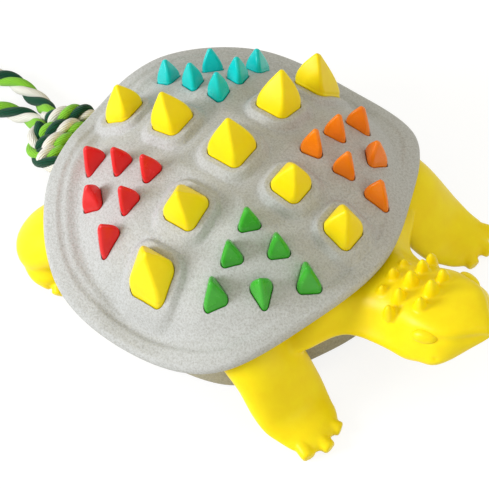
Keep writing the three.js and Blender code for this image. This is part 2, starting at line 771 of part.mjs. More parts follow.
function ropeSection() {
  const section = new THREE.Shape();
  for (let j = 0; j < ROPE_SIDES; j += 1) {
    const angle = 2 * Math.PI * j / ROPE_SIDES;
    const point = new THREE.Vector2(Math.cos(angle), Math.sin(angle)).multiplyScalar(ROPE_DIAMETER / 2);
    if (j === 0) {
      section.moveTo(point.x, point.y);
    } else {
      section.lineTo(point.x, point.y);
    }
  }
  return section;
}

function ropeAlong(name, points, steps) {
  const extrudePath = new THREE.CatmullRomCurve3(points, false, 'centripetal');
  const tube = new THREE.ExtrudeGeometry(ropeSection(), { steps, extrudePath, bevelEnabled: false });
  return namedMesh(name, solid(tube), GREEN_ROPE);
}

// Three wraps side by side: shares of a wrap's width and of the knot's radius
const WRAP_PROFILE = [[0.06, 0.8], [0.3, 0.97], [0.7, 0.97], [0.94, 0.8]];

function knot() {
  const sides = 12;
  const wraps = 3;
  const pitch = KNOT.length / wraps;
  const profile = [new THREE.Vector2(0, 0)];
  for (let k = 0; k < wraps; k += 1) {
    for (const [share, reach] of WRAP_PROFILE) {
      profile.push(new THREE.Vector2(KNOT.radius * reach, pitch * (k + share)));
    }
  }
  profile.push(new THREE.Vector2(0, KNOT.length));
  const wound = new THREE.LatheGeometry(profile, sides);
  wound.translate(-LUG_X - KNOT.back, KNOT.across - KNOT.length / 2, LUG_Z - KNOT.drop);
  return namedMesh('rope_knot', solid(wound), GREEN_ROPE);
}

const toy = new THREE.Group();
toy.position.x = (LUG_X + LUG_RADIUS - SNOUT_X) / 2;
toy.add(upperShell(), lowerShell(), body(), ...teeth.map(toothMesh));
toy.add(ropeAlong('rope_eye', eyePoints, EYE_STEPS), knot());
toy.add(ropeAlong('rope_hand_loop', loopPoints, LOOP_STEPS));

export default toy;
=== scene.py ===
# Turtle-shaped dog chew toy: camera, rope, shells, spikes, teeth, body, materials and light.
# Sizes are in millimetres, with X measured from the middle of the shell, until a mesh is made.
import math

import bmesh
import bpy
import numpy as np
from mathutils import Matrix, Vector
from mathutils.geometry import delaunay_2d_cdt


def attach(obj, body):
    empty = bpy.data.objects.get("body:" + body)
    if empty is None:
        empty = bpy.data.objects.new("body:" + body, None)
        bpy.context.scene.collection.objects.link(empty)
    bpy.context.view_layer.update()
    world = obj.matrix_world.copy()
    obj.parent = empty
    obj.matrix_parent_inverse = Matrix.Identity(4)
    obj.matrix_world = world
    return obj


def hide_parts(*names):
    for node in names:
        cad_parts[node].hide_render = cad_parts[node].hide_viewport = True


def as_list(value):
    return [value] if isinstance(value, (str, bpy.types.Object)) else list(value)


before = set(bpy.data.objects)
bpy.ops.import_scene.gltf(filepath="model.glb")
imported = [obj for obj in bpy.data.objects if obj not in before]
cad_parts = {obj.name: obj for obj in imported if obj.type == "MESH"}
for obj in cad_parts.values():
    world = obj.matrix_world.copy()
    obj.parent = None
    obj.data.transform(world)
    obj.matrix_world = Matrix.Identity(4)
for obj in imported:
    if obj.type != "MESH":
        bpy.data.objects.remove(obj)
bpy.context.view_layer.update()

MM = 0.001
SHELL_MIDDLE_X = -15.9

# Camera fitted to the photograph: place in metres, then right, down and ahead
VIEW_FROM = (0.3553, -0.3905, 0.7756)
VIEW_AXES = (
    (0.798512, 0.596155, -0.083537),
    (0.453213, -0.686695, -0.568373),
    (-0.396203, 0.415992, -0.818519),
)
LENS = 206.1
SENSOR = 36

# Upper shell
CROWN_HEIGHT = 62
SHELL_FRONT = 57
SHELL_REAR = 60
SHELL_HALF_WIDTH = 62.5
DOME_RADIUS_LONG = 97.5
DOME_RADIUS_WIDE = 77
DOME_END_LONG = 38.2
DOME_END_WIDE = 35
DOME_CORNER = 625
WALL = 2.6
RIM_HEIGHT_FRONT = 40
RIM_HEIGHT_REAR = 38
RIM_HEIGHT_SIDE = 22.5
RIM_DEPTH = 2.9
BRIM_SOFT = 0.7
BRIM_SLOPE = 0.55
BRIM_WIDTH = 4.8
BRIM_INNER = 6.4
BRIM_RISE = 1.8
LIP_RADIUS = 1.4
GROOVE_DEPTH = 0.15
GROOVE_INSET = 5.8
GROOVE_HALF = 2
RIM_PLAN = [(1, 0), (0.85, 0.45), (0.56, 0.88), (0, 1), (-0.55, 0.91), (-0.92, 0.51), (-1, 0)]
RIM_STEPS = 320
PLAN_STEPS = 60
# The skin's points: rings in from the rim, rings out from the edge of a hole, and a grid between them
RIM_INSETS = (
    0, 0.08, 0.25, 0.5, 0.9, 1.3, 1.6, 1.9, 2.2, 2.5, 2.8, 3.1, 3.4, 3.7, 4, 4.3, 4.7, 5.2, 5.8, 6.5, 7.3,
    8.2, 9.2, 10.3, 11.5, 12.8,
)
COLLAR_OFFSETS = (
    0, 0.08, 0.2, 0.4, 0.8, 1.2, 1.6, 1.8, 2, 2.2, 2.4, 2.7, 3, 3.3, 3.6, 3.8, 4, 4.2, 4.5, 5,
)
TOOTH_OFFSETS = (0, 0.08, 0.2, 0.4, 0.9)
HOLE_ARC_STEPS = 8
HOLE_SIDE_STEP = 0.7
DOME_GRID = 1.1
GRID_GAP = 0.5
# The rim's underside: its rounded lower edge, and rings further in where the wall gets thinner
RIM_EDGE_SOFT = 0.5
RIM_EDGE_SHARES = (0.3, 0.7, 1)
UNDERSIDE_INSETS = (2, 4, 6, 8, 11, 15, 20)
UNDERSIDE_TAPER = 8
JUST_INSIDE = 0.99999

# Yellow pyramids: place, half widths along and across the toy, height and outward lean of the tip
PYRAMID_TABLE = (
    (-46, 0, 5.3, 5.1, 13, 1.7), (-24.4, 0, 5.3, 5.7, 12.6, 3.1), (0, 0, 6.4, 6.2, 15.3, 0),
    (23.1, 0, 5.3, 5.2, 12.4, 2.5), (42.9, 0, 4.8, 5.3, 11.4, 2.4), (0, 24.6, 6, 5.5, 14, 3.7),
    (0, 44.8, 5.9, 5.6, 16.2, 2.2), (0, -24.8, 6, 5.8, 11.7, 2.9), (0, -45.2, 6.8, 5.2, 14, 1.4),
)
PYRAMID_CORNER = 2.6
PYRAMID_EDGE = 0.85
PYRAMID_TIP = 1.1
PYRAMID_BULGE = 0.9
PYRAMID_ROOT = 2
# Collars: flat land round a hole, slope down from it, and shallow dip beyond
LAND_HEIGHT = 0.45
LAND_WIDTH = 2
COLLAR_FALL = 2.3
COLLAR_SLOPE = 1.9
COLLAR_ROUND = 0.14
DIP_REACH = 9
HOLE_GAP = 0.22
HOLE_EDGE = 0.25
# Coloured teeth, in rows of three, two and one
TOOTH_LEAN = 1.7
TOOTH_START = (19.3, 17.6)
TOOTH_PITCH = (11.8, 11.15)
TOOTH_SKEW = 0.95
TOOTH_TURNED_OUT = 1.4
TOOTH_RADIUS = 5.2
TOOTH_OUTER_GROWTH = 0.4
TOOTH_CORNER = 1.3
TOOTH_EDGE = 0.9
TOOTH_TIP = 1
TOOTH_BULGE = 0.4
TOOTH_HEIGHT = 9.1
TOOTH_SHOULDER = 0.4
TOOTH_ROOT = 1.5
# Colour, quarter of the shell, and how far the group stands out along and across the toy
TOOTH_GROUPS = (
    ("red", -1, -1, -0.3, 1.7), ("teal", -1, 1, -0.3, 0),
    ("orange", 1, 1, 0.3, -1.1), ("green", 1, -1, 0.3, 0.3),
)
# Sides of pyramids and teeth: shares of the height for foot, shoulder and bulge, and the tip's angles
SPIKE_ARC_STEPS = 10
SPIKE_LEVELS = 18
FOOT_SHARE = 0.7
SHOULDER_SHARE = 0.05
SHOULDER_DROP = 0.12
BULGE_POWER = 0.8
TIP_LEVELS = 6
TIP_FROM = math.radians(28)
TIP_TO = math.radians(84)

# Lower shell
TRAY_FRONT = 52.5
TRAY_REAR = 54
TRAY_HALF_WIDTH = 52
TRAY_BOTTOM = 3.2
TRAY_TOP = 21
TRAY_WALL = 2.6
TRAY_ROUND = 4
TRAY_STEPS = 200
TRAY_MIDDLE_INSET = 30
# Lip of the tray: inset and drop from its top
TRAY_LIP = ((0, 0.6), (0.2, 0.15), (0.6, 0), (TRAY_WALL, 0), (TRAY_WALL, 4))

# Body between the shells: insets and heights of the belt, and insets of the rings over it
CLEAR = 0.4
CORE_DROP = 5.4
CORE_LOWER = 0.6
CORE_STEPS = 120
BELT_INSET = 7
BELT = ((BELT_INSET + 8, 14), (BELT_INSET + 6, 18), (BELT_INSET, TRAY_TOP + CLEAR))
CORE_INSETS = (BELT_INSET, 10, 14, 20, 28, 38, 48)
CORE_TOP_INSETS = (BELT_INSET, 10, 13, 18, 24, 30, 38, 46, 53)
# Parts of the body left out under the shells
COVER_INSET = 2
COVER_DEPTH = 3
TRAY_COVER_SHARE = 0.9
TRAY_COVER_RISE = 4
# Skin round the body: voxel size and rounds of smoothing, first without and then with claws and cones
ROUGH_SKIN = (0.8, 9)
FINE_SKIN = (0.55, 3)

# Head sections (x, half width, top, bottom), and cones on it (x, y, foot, radius, height) on the toy's left
HEAD_SECTIONS = (
    (36, 36.5, 34, 21.4), (44, 34.6, 35, 20.8), (48, 31, 36, 20.6), (50.4, 26, 36.7, 20.7),
    (52.6, 21.8, 37.2, 20.8), (55.4, 19, 37.9, 21), (60, 17.4, 39.1, 21.3), (65, 17, 40.7, 21.8),
    (71, 17, 42.1, 22.6), (77, 17.4, 42.9, 23.4), (82, 16.8, 43.4, 25.4), (87, 16, 43.6, 26.6),
    (90.8, 12.9, 43.5, 29), (94.4, 7.8, 42.9, 32), (97.4, 3.8, 41.9, 34.6), (99.6, 1.8, 40.4, 36.6),
)
HEAD_STEPS = 4
FACE_FROM = 64
FACE_FULL = 80
# Half sections as shares of half width and height, from the top round to the bottom
NECK_SHAPE = (
    (0, 1), (0.28, 0.97), (0.5, 0.88), (0.66, 0.73), (0.77, 0.55), (0.88, 0.38), (1, 0.22), (0.9, 0.07),
    (0.5, 0), (0, 0),
)
FACE_SHAPE = (
    (0, 1), (0.3, 0.99), (0.56, 0.955), (0.7, 0.87), (0.8, 0.68), (0.91, 0.44), (1, 0.2), (0.88, 0.05),
    (0.5, 0), (0, 0),
)
HEAD_CONES = (
    (61.9, 0, 39, 2, 5), (61.7, 6, 38, 1.6, 3.6), (68.9, 0, 41.4, 2.4, 7), (68.7, 6.5, 40.6, 2, 5.8),
    (68.3, 11.8, 38, 1.9, 5), (76.7, 0, 42.6, 2.4, 7), (76.7, 6.3, 42.2, 2, 5.6),
)
# Outline of a cone: height over its foot and radius, as shares of its own
CONE_SHAPE = (
    (-0.35, 1.2), (0, 1.1), (0.1, 1.04), (0.25, 1), (0.4, 0.93), (0.55, 0.82), (0.7, 0.66), (0.82, 0.49),
    (0.91, 0.33), (0.97, 0.17), (1, 0.03),
)
EYE = (82.4, 12.6, 38.2)
EYE_SIZE = (4.4, 2, 2.5)
EYE_TURNS = {"Z": -0.2, "X": 0.36, "Y": -0.2}
EYE_STEPS = (48, 32)
# Creases of the face, each with its depth and width
MOUTH_LINE = ((87.6, 14.6, 32.4), (91.8, 8.6, 33.6), (96, 4.1, 35.8), (100, 0, 37.6))
MOUTH_CREASE = (0.6, 0.7)
BROW_LINE = ((80.5, 14.6, 38.6), (85.5, 12.8, 38.8), (89.5, 9.8, 39.2), (94.4, 5.7, 38.4), (98.4, 2, 38))
BROW_CREASE = (0.8, 1.6)
CREASE_STEPS = 6

# Stations of the limbs (x, y, z, half width, half thickness) on the toy's left
LIMB_STEPS = 5
LIMB_SIDES = 32
FRONT_LEG = (
    (26, 36, 27.5, 13, 7.6), (34, 38.4, 24, 13.2, 7.6), (41, 39.8, 18, 13.2, 7.2),
    (46.5, 41, 10.4, 13.4, 6.4), (51, 42, 5.8, 12.9, 5.2), (56, 43, 3.6, 11.3, 4.4),
    (60, 43.8, 2.9, 10, 3.8), (63, 44.2, 2.3, 8, 3.1), (65, 44.3, 1.9, 5, 2.3),
)
REAR_THIGH = (
    (-30, 24, 31, 14, 8), (-42, 31, 24, 13.6, 9), (-52, 36, 16, 12.6, 9.2), (-58, 39.6, 10.5, 10.8, 7.8),
    (-61.6, 41.6, 7.4, 7.4, 5.4), (-63.2, 42.6, 6.4, 4, 3),
)
REAR_FOOT = (
    (-57.5, 34.5, 9, 7.6, 5.6), (-53.6, 38.2, 7.2, 10, 6.6), (-49.2, 41.7, 5.4, 9.8, 5.8),
    (-46.2, 44.2, 4.8, 7.8, 5), (-44.6, 45.5, 4.2, 4.6, 3.4),
)
# Claws, from root to end
CLAWS = (
    ((57, 49.4, 3.4), (64, 52.4, 2.2)), ((59, 45.2, 3.4), (67.6, 45.8, 2.1)),
    ((58.5, 40.4, 3.4), (66.2, 38.2, 2.1)), ((-50, 41.6, 5.6), (-49.2, 49.2, 2.8)),
    ((-46, 42, 5.4), (-43, 48.8, 2.6)), ((-43, 41, 5.4), (-38.4, 45.4, 2.6)),
)
# Outline of a claw: share of its length and radius
CLAW_SHAPE = ((0, 2.6), (0.4, 2.7), (0.7, 2.6), (0.94, 2.4), (1, 2))
BAR_SIDES = 20

# Tail lug and the three strands of the rope
LUG_X = 62.5
LUG_Z = 14
LUG_RADIUS = 6.2
LUG_WIDTH = 9
LUG_ROOT = (-48, 30)
LUG_ROOT_RADIUS = 7
LUG_ARC_STEPS = 13
FLOOR_LIFT = 3.1
STRAND_RADIUS = 1.65
STRAND_OUT = 1.45
STRAND_SIDES = 16
ROPE_STEP = 0.4
ROPE_LAY = 21
KNOT_LAY = 12
YARN_TURN = 26
YARN_STRETCH = 10
# Where the strands start round the rope, in radians, so that the colours come as in the photograph
KNOT_PHASE = 4.29
EYE_PHASE = 1.02
LOOP_PHASE = 2.25
ROUTE_STEPS = 12
# Eye: back, across and down from the hole; hand loop: back, across and up from the floor
EYE_ROUTE = (
    (25.4, -0.4, 3.6), (25.4, -2.6, 4), (24.3, -5.6, 4.2), (22.1, -8.7, 4), (19.3, -11, 3.6),
    (15.5, -12.2, 2.8), (11.6, -12.2, 1.8), (7.4, -11, 0.8), (3.4, -8.8, 0.2), (0.8, -6.2, 0), (0, -3.6, 0),
    (0, 0, 0), (0, 5, 0), (1.4, 9, 0.2), (5, 11, 0.9), (10, 11.4, 2), (14, 9.6, 3.4), (15.6, 6.5, 4.2),
)
LOOP_ROUTE = (
    (24.2, -1.2, 5.6), (27.6, 0, 4.6), (31.4, 2.6, 1.4), (36.4, 3.6, 0), (41.6, 2.5, 0), (47.3, 1, 0),
    (56.5, -2.6, 0), (66.5, -7.8, 0), (77.5, -13, 0), (88.5, -16.2, 0), (97.5, -14.6, 0), (102.9, -8, 0),
    (100.9, 0, 0), (92.9, 4.8, 0), (81.5, 7.2, 0), (69.5, 9, 0), (60, 11, 0), (53, 13, 0), (47.5, 13, 0),
    (42, 12, 0), (36.8, 11.2, 0.1), (32.4, 9.4, 1.4), (28.8, 6.6, 4.4), (24.8, 4.6, 5.6),
)
# Knot: the top of each wrap, back from the hole, across and height, and how far and deep a wrap reaches
KNOT_TOPS = ((18.4, 7.7, 14), (16.2, 1.1, 14.4), (14.7, -4.1, 14.2), (13.2, -8.7, 13))
KNOT_HEADING = (0.62, 0.78)
KNOT_REACH = 7.4
KNOT_DEPTH = 2.8
KNOT_LEAD = 0.32
KNOT_TAPER = 0.11
KNOT_STEPS = 40

# Light: place, power in watts, size and colour; then the room's colour and strength
LAMPS = (
    ("key", (-0.69, -0.845, 0.51), 12.2, 0.5, (0.92, 0.96, 1.05)),
    ("fill", (0.98, 0, 0.69), 1.5, 0.7, (1, 1, 1)),
)
LAMP_AIM = (0, 0, 0.03)
ROOM_COLOUR = (1, 0.965, 0.84, 1)
ROOM_STRENGTH = 0.69
FLOOR_REACH = 3
PAPER_COLOUR = (0.7, 0.7, 0.69, 1)
SHADOW_COLOUR = (0.22, 0.22, 0.22, 1)
PAPER_WHITE = 0.84


# Meshes and curves

def link(name, mesh, *materials):
    piece = bpy.data.objects.new(name, mesh)
    bpy.context.scene.collection.objects.link(piece)
    for material in materials:
        mesh.materials.append(material)
    mesh.polygons.foreach_set("use_smooth", [True] * len(mesh.polygons))
    return piece


def in_frame(points):
    """Places in metres in the part's frame, from millimetres from the shell's middle."""
    return (np.asarray(points, float) + (SHELL_MIDDLE_X, 0, 0)) * MM


def mesh_of(name, points, faces):
    mesh = bpy.data.meshes.new(name)
    mesh.from_pydata(in_frame(points).tolist(), [], faces)
    return mesh


def facing_out(mesh):
    work = bmesh.new()
    work.from_mesh(mesh)
    bmesh.ops.recalc_face_normals(work, faces=work.faces)
    work.to_mesh(mesh)
    work.free()
    return mesh


def place(piece, body, slot, *nodes):
    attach(piece, body)
    if nodes:
        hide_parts(*nodes)
    return piece


def spline(points, steps, closed=False):
    """Centripetal curve through the points, with that many steps to each span."""
    knots = np.asarray(points, float)
    count = len(knots)
    if closed:
        padded = np.vstack((knots[-1:], knots, knots[:2]))
    else:
        padded = np.vstack((2 * knots[0] - knots[1], knots, 2 * knots[-1] - knots[-2]))
    share = np.arange(steps)[:, None] / steps
    rows = []
    for i in range(count if closed else count - 1):
        a, b, c, d = padded[i:i + 4]
        before, during, after = (math.sqrt(np.linalg.norm(q - p)) for p, q in ((a, b), (b, c), (c, d)))
        leave = ((b - a) / before - (c - a) / (before + during)) * during + (c - b)
        arrive = ((d - c) / after - (d - b) / (during + after)) * during + (c - b)
        cubic = 2 * b - 2 * c + leave + arrive
        square = 3 * c - 3 * b - 2 * leave - arrive
        rows.append(b + share * (leave + share * (square + share * cubic)))
    if not closed:
        rows.append(knots[-1:])
    return np.vstack(rows)


def strip_faces(rings, count, start=0):
    faces = []
    for i in range(rings - 1):
        low = start + i * count
        for j in range(count):
            k = (j + 1) % count
            faces.append((low + j, low + k, low + count + k, low + count + j))
    return faces


def loft(rings):
    """Closed skin over rings of equal point counts."""
    rings = np.asarray(rings, float)
    levels, count = rings.shape[:2]
    faces = strip_faces(levels, count)
    faces.append(tuple(reversed(range(count))))
    faces.append(tuple((levels - 1) * count + j for j in range(count)))
    return rings.reshape(-1, 3), faces


def gathered(solids):
    """Several point and face lists as one."""
    points, faces, start = [], [], 0
    for own_points, own_faces in solids:
        points.append(np.asarray(own_points, float))
        faces += [tuple(start + i for i in face) for face in own_faces]
        start += len(own_points)
    return np.vstack(points), faces


# Materials

def shader(name, colour, roughness):
    material = bpy.data.materials.new(name)
    material.use_nodes = True
    principled = material.node_tree.nodes["Principled BSDF"]
    principled.inputs["Base Color"].default_value = (*colour, 1)
    principled.inputs["Roughness"].default_value = roughness
    return material, principled


def node(material, kind, **values):
    made = material.node_tree.nodes.new(kind)
    for name, value in values.items():
        made.inputs[name.replace("_", " ")].default_value = value
    return made


def wire(material, source, target):
    material.node_tree.links.new(source, target)


def ramp(material, source, target, *stops):
    """Colours laid over a texture's values: each stop is a value and a colour."""
    made = node(material, "ShaderNodeValToRGB")
    for element, (value, colour) in zip(made.color_ramp.elements, stops):
        element.position = value
        element.color = (*colour, 1)
    wire(material, source, made.inputs["Fac"])
    wire(material, made.outputs["Color"], target)


def bumps(material, principled, source, strength, depth):
    bump = node(material, "ShaderNodeBump", Strength=strength, Distance=depth)
    wire(material, source, bump.inputs["Height"])
    wire(material, bump.outputs["Normal"], principled.inputs["Normal"])


def uneven_gloss(material, principled, source, low, high):
    spread = node(material, "ShaderNodeMapRange")
    spread.inputs["From Min"].default_value = 0.3
    spread.inputs["From Max"].default_value = 0.7
    spread.inputs["To Min"].default_value = low
    spread.inputs["To Max"].default_value = high
    wire(material, source, spread.inputs["Value"])
    wire(material, spread.outputs["Result"], principled.inputs["Roughness"])


def plastic(name, speck, light):
    """Satin plastic from a sand-blasted mould: fine pits, a little darker than the rest."""
    material, principled = shader(name, light, 0.55)
    principled.inputs["Specular IOR Level"].default_value = 0.3
    where = node(material, "ShaderNodeTexCoord")
    noise = node(material, "ShaderNodeTexNoise", Scale=1500, Detail=4, Roughness=0.75)
    wire(material, where.outputs["Object"], noise.inputs["Vector"])
    ramp(material, noise.outputs["Fac"], principled.inputs["Base Color"], (0.34, speck), (0.58, light))
    bumps(material, principled, noise.outputs["Fac"], 0.7, 0.0005)
    uneven_gloss(material, principled, noise.outputs["Fac"], 0.62, 0.48)
    return material


def rubber(name, dark, light, glow, gloss, shine):
    """Smooth moulded rubber with faint unevenness and a little light under its skin."""
    material, principled = shader(name, light, gloss)
    principled.inputs["Specular IOR Level"].default_value = shine
    principled.inputs["Subsurface Weight"].default_value = 0.1
    principled.inputs["Subsurface Radius"].default_value = glow
    principled.inputs["Subsurface Scale"].default_value = 0.003
    where = node(material, "ShaderNodeTexCoord")
    noise = node(material, "ShaderNodeTexNoise", Scale=140, Detail=5, Roughness=0.6)
    wire(material, where.outputs["Object"], noise.inputs["Vector"])
    ramp(material, noise.outputs["Fac"], principled.inputs["Base Color"], (0.3, dark), (0.7, light))
    bumps(material, principled, noise.outputs["Fac"], 0.05, 0.0004)
    uneven_gloss(material, principled, noise.outputs["Fac"], gloss - 0.04, gloss + 0.04)
    return material


def cotton(name, dark, light):
    """Fine yarns that run along a strand, with fibres between them."""
    material, principled = shader(name, light, 0.85)
    principled.inputs["Specular IOR Level"].default_value = 0.1
    principled.inputs["Sheen Weight"].default_value = 0.2
    where = node(material, "ShaderNodeUVMap")
    where.uv_map = "strand"
    yarn = node(material, "ShaderNodeTexWave", Scale=4.6, Distortion=2.6, Detail=4)
    yarn.inputs["Detail Scale"].default_value = 1.6
    wire(material, where.outputs["UV"], yarn.inputs["Vector"])
    ramp(material, yarn.outputs["Fac"], principled.inputs["Base Color"], (0.05, dark), (0.6, light))
    bumps(material, principled, yarn.outputs["Fac"], 0.6, 0.0004)
    return material


GREY = plastic("grey_plastic", (0.40, 0.396, 0.368), (0.56, 0.566, 0.552))
# Lower shell: the grey plastic darkened and tinted khaki, painted shade from under the rim and painted yellow
# bounce light from the legs
TRAY_PAINTED_SHADE_GREY = plastic("tray_plastic_painted_shade", (0.30, 0.275, 0.19), (0.43, 0.395, 0.28))
YELLOW = rubber("yellow_rubber", (0.92, 0.69, 0.003), (0.96, 0.77, 0.005), (1, 0.6, 0.03), 0.36, 0.2)
TOOTH_COLOURS = {
    "red": rubber("red_rubber", (0.72, 0.012, 0.012), (0.80, 0.018, 0.018), (1, 0.12, 0.08), 0.26, 0.3),
    "teal": rubber("teal_rubber", (0.002, 0.52, 0.50), (0.004, 0.60, 0.58), (0.05, 0.8, 0.9), 0.26, 0.22),
    "orange": rubber("orange_rubber", (0.88, 0.20, 0.004), (0.95, 0.25, 0.007), (1, 0.4, 0.05), 0.26, 0.3),
    "green": rubber("green_rubber", (0.035, 0.36, 0.018), (0.055, 0.44, 0.028), (0.2, 0.9, 0.2), 0.26, 0.3),
}
COTTON = (
    cotton("dark_green_cotton", (0.0015, 0.022, 0.010), (0.005, 0.085, 0.042)),
    cotton("cream_cotton", (0.68, 0.65, 0.56), (0.88, 0.86, 0.79)),
    cotton("lime_cotton", (0.16, 0.45, 0.022), (0.27, 0.63, 0.045)),
)


# Camera

def place_camera():
    right, down, ahead = (Vector(axis) for axis in VIEW_AXES)
    lens = bpy.data.cameras.new("camera")
    lens.sensor_width = SENSOR
    lens.lens = LENS
    camera = bpy.data.objects.new("camera", lens)
    turn = Matrix((right, -down, -ahead)).transposed().to_4x4()
    camera.matrix_world = Matrix.Translation(VIEW_FROM) @ turn
    bpy.context.scene.collection.objects.link(camera)
    bpy.context.scene.camera = camera


# Rope of three strands

def behind_hole(route):
    return np.array([(-LUG_X - back, across, height) for back, across, height in route], float)


def eye_points():
    return behind_hole([(back, across, LUG_Z - drop) for back, across, drop in EYE_ROUTE])


def loop_points():
    return behind_hole([(back, across, FLOOR_LIFT + up) for back, across, up in LOOP_ROUTE])


def evenly(points, step):
    """The line's points again, at an even distance, with the distance run."""
    run = np.concatenate(([0], np.cumsum(np.linalg.norm(np.diff(points, axis=0), axis=1))))
    marks = np.linspace(0, run[-1], max(2, int(run[-1] / step)))
    return np.column_stack([np.interp(marks, run, points[:, k]) for k in range(3)]), marks


def carried_frames(line):
    """A side and an upper direction at each point, carried along without twist."""
    ahead = np.gradient(line, axis=0)
    ahead /= np.linalg.norm(ahead, axis=1)[:, None]
    side = np.cross(ahead[0], (0, 0, 1))
    sides = []
    for direction in ahead:
        side = side - direction * np.dot(side, direction)
        side = side / np.linalg.norm(side)
        sides.append(side)
    sides = np.array(sides)
    return sides, np.cross(sides, ahead)


def rope(name, line, phase, lay):
    """Three strands laid round the line, with a map that runs along each strand."""
    line, run = evenly(line, ROPE_STEP)
    side, upper = carried_frames(line)
    angles = 2 * math.pi * np.arange(STRAND_SIDES) / STRAND_SIDES
    share = np.arange(STRAND_SIDES + 1) / STRAND_SIDES
    solids, materials, strand_rows = [], [], []
    for strand in range(3):
        twist = phase + 2 * math.pi * (run / lay + strand / 3)
        centre = line + STRAND_OUT * (np.cos(twist)[:, None] * side + np.sin(twist)[:, None] * upper)
        own_side, own_upper = carried_frames(centre)
        ring = STRAND_RADIUS * (
            np.cos(angles)[None, :, None] * own_side[:, None]
            + np.sin(angles)[None, :, None] * own_upper[:, None]
        )
        solids.append(loft(centre[:, None] + ring))
        materials += [strand] * len(solids[-1][1])
        for i in range(len(line) - 1):
            low, high = run[i], run[i + 1]
            for j in range(STRAND_SIDES):
                corners = ((share[j], low), (share[j + 1], low), (share[j + 1], high), (share[j], high))
                strand_rows += [(turn + along / YARN_TURN, along / YARN_STRETCH) for turn, along in corners]
        ends = (run[0], run[-1])
        strand_rows += [(turn, along / YARN_STRETCH) for along in ends for turn in share[:-1]]
    mesh = mesh_of(name, *gathered(solids))
    mesh.polygons.foreach_set("material_index", materials)
    strand_map = mesh.uv_layers.new(name="strand")
    strand_map.data.foreach_set("uv", np.array(strand_rows, float).ravel())
    return place(link(name, mesh, *COTTON), "rope", "rope")


def knot_line():
    """One winding line that comes over the top of each wrap in turn and passes under to the next."""
    wraps = len(KNOT_TOPS)
    turns = np.linspace(-KNOT_LEAD, wraps - 1 + KNOT_LEAD, KNOT_STEPS * wraps)
    bend = np.polyfit(np.arange(wraps), behind_hole(KNOT_TOPS), 2)
    tops = turns[:, None] ** 2 * bend[0] + turns[:, None] * bend[1] + bend[2]
    heading = np.array((*KNOT_HEADING, 0))
    angle = 2 * math.pi * turns[:, None]
    reach = KNOT_REACH * (1 - KNOT_TAPER * turns[:, None])
    return tops + reach * np.sin(angle) * heading + KNOT_DEPTH * (np.cos(angle) - 1) * (0, 0, 1)


def make_rope():
    eye_line = spline(eye_points(), ROUTE_STEPS)
    loop_line = spline(loop_points(), ROUTE_STEPS)
    knot = rope("knot_wraps", knot_line()[::-1], KNOT_PHASE, KNOT_LAY)
    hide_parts("rope_knot")
    eye = rope("rope_eye_strands", eye_line[::-1], EYE_PHASE, ROPE_LAY)
    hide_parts("rope_eye")
    hand_loop = rope("rope_loop_strands", loop_line, LOOP_PHASE, ROPE_LAY)
    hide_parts("rope_hand_loop")
    for piece, line, own in ((eye, eye_line, [knot]), (hand_loop, loop_line, [])):
        path = in_frame(line).tolist()
        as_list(own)


# Surface of the upper shell

def smoothstep(value, low, high):
    share = np.clip((value - low) / (high - low), 0, 1)
    return share * share * (3 - 2 * share)


mirrored = [(x, -y) for x, y in reversed(RIM_PLAN[1:-1])]
plan = spline(RIM_PLAN + mirrored, PLAN_STEPS, closed=True)
plan_angles = np.arctan2(plan[:, 1], plan[:, 0])
plan_order = np.argsort(plan_angles)
PLAN_ANGLES = plan_angles[plan_order]
PLAN_REACH = np.hypot(plan[:, 0], plan[:, 1])[plan_order]


def edge_at(angle, front, rear, half_width):
    """The rim's place in a direction, with its share of the length and its reach in the plan."""
    reach = np.interp(angle, PLAN_ANGLES, PLAN_REACH, period=2 * math.pi)
    along = np.cos(angle) * reach
    x = along * np.where(along > 0, front, rear)
    return x, np.sin(angle) * reach * half_width, along, reach


def dome_height(x, y):
    """Flat on top, steeper towards the ends and sides."""
    middle = CROWN_HEIGHT - x * x / (2 * DOME_RADIUS_LONG) - y * y / (2 * DOME_RADIUS_WIDE)
    return middle - (x / DOME_END_LONG) ** 6 - (y / DOME_END_WIDE) ** 6 - (x * y / DOME_CORNER) ** 2


def on_spoke(x, y):
    """Distance in from the rim, and the height of its underside there."""
    share_x = x / np.where(x > 0, SHELL_FRONT, SHELL_REAR)
    share_y = y / SHELL_HALF_WIDTH
    angle = np.arctan2(share_y, share_x)
    edge_x, edge_y, along, reach = edge_at(angle, SHELL_FRONT, SHELL_REAR, SHELL_HALF_WIDTH)
    out = np.hypot(share_x, share_y) / reach
    end = np.where(along > 0, RIM_HEIGHT_FRONT, RIM_HEIGHT_REAR)
    rim = RIM_HEIGHT_SIDE + (end - RIM_HEIGHT_SIDE) * along * along
    return (1 - out) * np.hypot(edge_x, edge_y), rim


def shell_height(x, y):
    """The dome, with a soft corner where it meets the sloping brim."""
    inset, rim = on_spoke(x, y)
    climb = np.minimum(inset, BRIM_WIDTH) + np.clip(inset - BRIM_INNER, 0, BRIM_RISE)
    brim = rim + RIM_DEPTH + BRIM_SLOPE * climb
    return BRIM_SOFT * np.logaddexp(dome_height(x, y) / BRIM_SOFT, brim / BRIM_SOFT)


def rim_outline(inset, front=SHELL_FRONT, rear=SHELL_REAR, half_width=SHELL_HALF_WIDTH, steps=RIM_STEPS):
    angles = 2 * math.pi * np.arange(steps) / steps
    x, y, _, _ = edge_at(angles, front, rear, half_width)
    keep = 1 - inset / np.hypot(x, y)
    return np.column_stack((x * keep, y * keep))


# Seats on the shell for spikes and teeth

